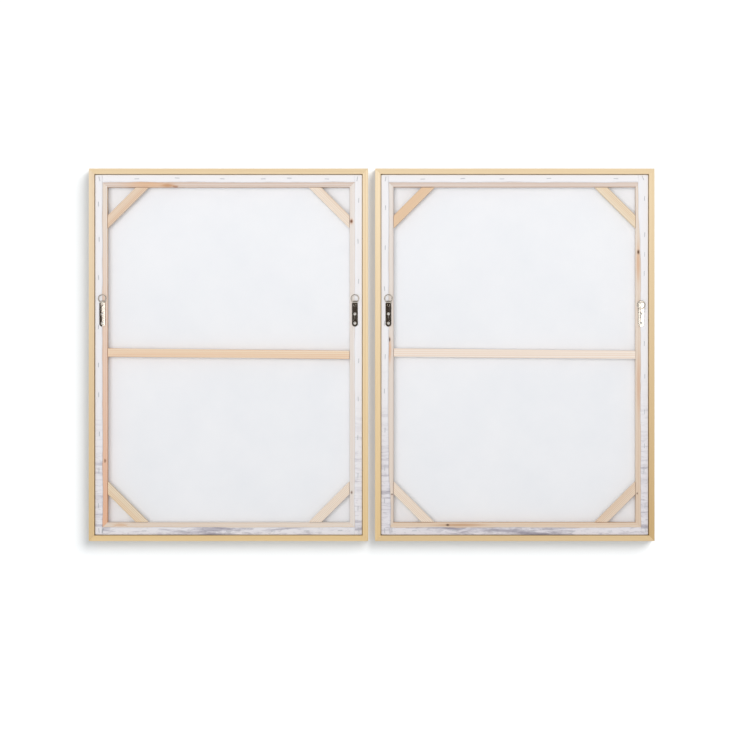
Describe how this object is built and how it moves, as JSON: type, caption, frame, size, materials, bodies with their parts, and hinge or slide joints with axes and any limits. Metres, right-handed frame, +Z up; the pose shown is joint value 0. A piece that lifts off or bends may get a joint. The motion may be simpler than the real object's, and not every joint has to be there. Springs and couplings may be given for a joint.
{
  "type": "framed canvas pair",
  "caption": "Matching pair of portrait stretched canvases in slim wooden frames, with pine stretchers, corner braces, crossbars and ringed strap hangers on the back.",
  "frame": {"origin": "midway between the two panels, on the wall plane, at the height where the wall hooks carry the rings", "axes": "+Z up, +Y out of the wall towards the room (the pictures face +Y), +X to the right as seen from the wall side, where the backs show"},
  "size_m": [1.215, 0.03, 0.8],
  "materials": {
    "frame_wood": "satin pale gold stained wood moulding",
    "pine": "planed unfinished pine with orange grain and small knots",
    "canvas": "matt primed cotton canvas, printed in white and grey brush strokes on the front and round the edges",
    "nickel": "polished nickel plated steel strip and wire",
    "steel": "bright zinc plated steel"
  },
  "bodies": {
    "left_panel": {"left_frame_rail_top": "frame_wood", "left_frame_rail_right": "frame_wood", "left_frame_rail_bottom": "frame_wood", "left_frame_rail_left": "frame_wood", "left_canvas_pin_right_upper": "steel", "left_canvas_pin_right_lower": "steel", "left_canvas_pin_left_upper": "steel", "left_canvas_pin_left_lower": "steel", "left_frame_nail_top_left": "steel", "left_frame_nail_top_right": "steel", "left_frame_nail_bottom_right": "steel", "left_frame_nail_bottom_left": "steel", "left_stretcher_top": "pine", "left_stretcher_right": "pine", "left_stretcher_bottom": "pine", "left_stretcher_left": "pine", "left_brace_top_left": "pine", "left_brace_top_right": "pine", "left_brace_bottom_right": "pine", "left_brace_bottom_left": "pine", "left_crossbar": "pine", "left_canvas": "canvas", "left_hanger_left_strap": "nickel", "left_hanger_left_screw_upper": "steel", "left_hanger_left_screw_lower": "steel", "left_hanger_right_strap": "nickel", "left_hanger_right_screw_upper": "steel", "left_hanger_right_screw_lower": "steel"},
    "right_panel": {"right_frame_rail_top": "frame_wood", "right_frame_rail_right": "frame_wood", "right_frame_rail_bottom": "frame_wood", "right_frame_rail_left": "frame_wood", "right_canvas_pin_right_upper": "steel", "right_canvas_pin_right_lower": "steel", "right_canvas_pin_left_upper": "steel", "right_canvas_pin_left_lower": "steel", "right_frame_nail_top_left": "steel", "right_frame_nail_top_right": "steel", "right_frame_nail_bottom_right": "steel", "right_frame_nail_bottom_left": "steel", "right_stretcher_top": "pine", "right_stretcher_right": "pine", "right_stretcher_bottom": "pine", "right_stretcher_left": "pine", "right_brace_top_left": "pine", "right_brace_top_right": "pine", "right_brace_bottom_right": "pine", "right_brace_bottom_left": "pine", "right_crossbar": "pine", "right_canvas": "canvas", "right_hanger_left_strap": "nickel", "right_hanger_left_screw_upper": "steel", "right_hanger_left_screw_lower": "steel", "right_hanger_right_strap": "nickel", "right_hanger_right_screw_upper": "steel", "right_hanger_right_screw_lower": "steel"},
    "left_hanger_left_ring": {"left_hanger_left_ring": "nickel"},
    "left_hanger_right_ring": {"left_hanger_right_ring": "nickel"},
    "right_hanger_left_ring": {"right_hanger_left_ring": "nickel"},
    "right_hanger_right_ring": {"right_hanger_right_ring": "nickel"}
  },
  "joints": [
    {"name": "panel_spacing", "type": "slide", "parent": "left_panel", "child": "right_panel", "axis": [1, 0, 0], "range_m": [0, 0.235]},
    {"name": "left_hanger_left_ring_hinge", "type": "hinge", "parent": "left_panel", "child": "left_hanger_left_ring", "pos_m": [-0.579, 0.003, -0.014], "axis": [1, 0, 0], "range_deg": [-5, 180]},
    {"name": "left_hanger_right_ring_hinge", "type": "hinge", "parent": "left_panel", "child": "left_hanger_right_ring", "pos_m": [-0.036, 0.003, -0.014], "axis": [1, 0, 0], "range_deg": [-5, 180]},
    {"name": "right_hanger_left_ring_hinge", "type": "hinge", "parent": "right_panel", "child": "right_hanger_left_ring", "pos_m": [0.036, 0.003, -0.014], "axis": [1, 0, 0], "range_deg": [-5, 180]},
    {"name": "right_hanger_right_ring_hinge", "type": "hinge", "parent": "right_panel", "child": "right_hanger_right_ring", "pos_m": [0.579, 0.003, -0.014], "axis": [1, 0, 0], "range_deg": [-185, 0]}
  ]
}
